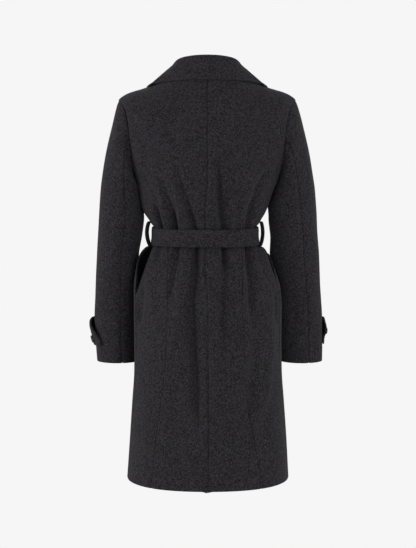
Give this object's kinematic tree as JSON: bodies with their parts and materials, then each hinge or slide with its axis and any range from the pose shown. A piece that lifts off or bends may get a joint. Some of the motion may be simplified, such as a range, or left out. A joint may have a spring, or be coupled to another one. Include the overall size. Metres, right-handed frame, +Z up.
{
  "type": "wrap coat",
  "caption": "Knee-length hollow wrap coat in thick wool cloth, with a wide folded collar, lapels, long sleeves with cuff tabs, and a tied belt through loops.",
  "frame": {"origin": "halfway between the two side neck points, at the height of the side neck seams, where the wearer's neck and shoulders hold the coat", "axes": "+Z is up, the wearer faces -Y, and +X is the wearer's left"},
  "size_m": [0.5731, 0.286, 0.9856],
  "materials": {
    "coat_wool": "charcoal marl wool, softly napped",
    "button": "dark, semi-gloss"
  },
  "bodies": {
    "root": {"back_left": "coat_wool", "back_right": "coat_wool", "side_back_left": "coat_wool", "side_back_right": "coat_wool", "front_left": "coat_wool", "front_right": "coat_wool", "sleeve_upper_left": "coat_wool", "sleeve_upper_right": "coat_wool", "sleeve_under_left": "coat_wool", "sleeve_under_right": "coat_wool", "collar": "coat_wool", "lapel_left": "coat_wool", "lapel_right": "coat_wool", "belt": "coat_wool", "belt_knot": "coat_wool", "belt_tail_long": "coat_wool", "belt_tail_short": "coat_wool", "belt_loop_left": "coat_wool", "belt_loop_right": "coat_wool", "cuff_tab_left": "coat_wool", "cuff_tab_right": "coat_wool", "cuff_button_left": "button", "cuff_button_right": "button", "pocket_facing_left": "coat_wool", "pocket_facing_right": "coat_wool"}
  },
  "joints": []
}
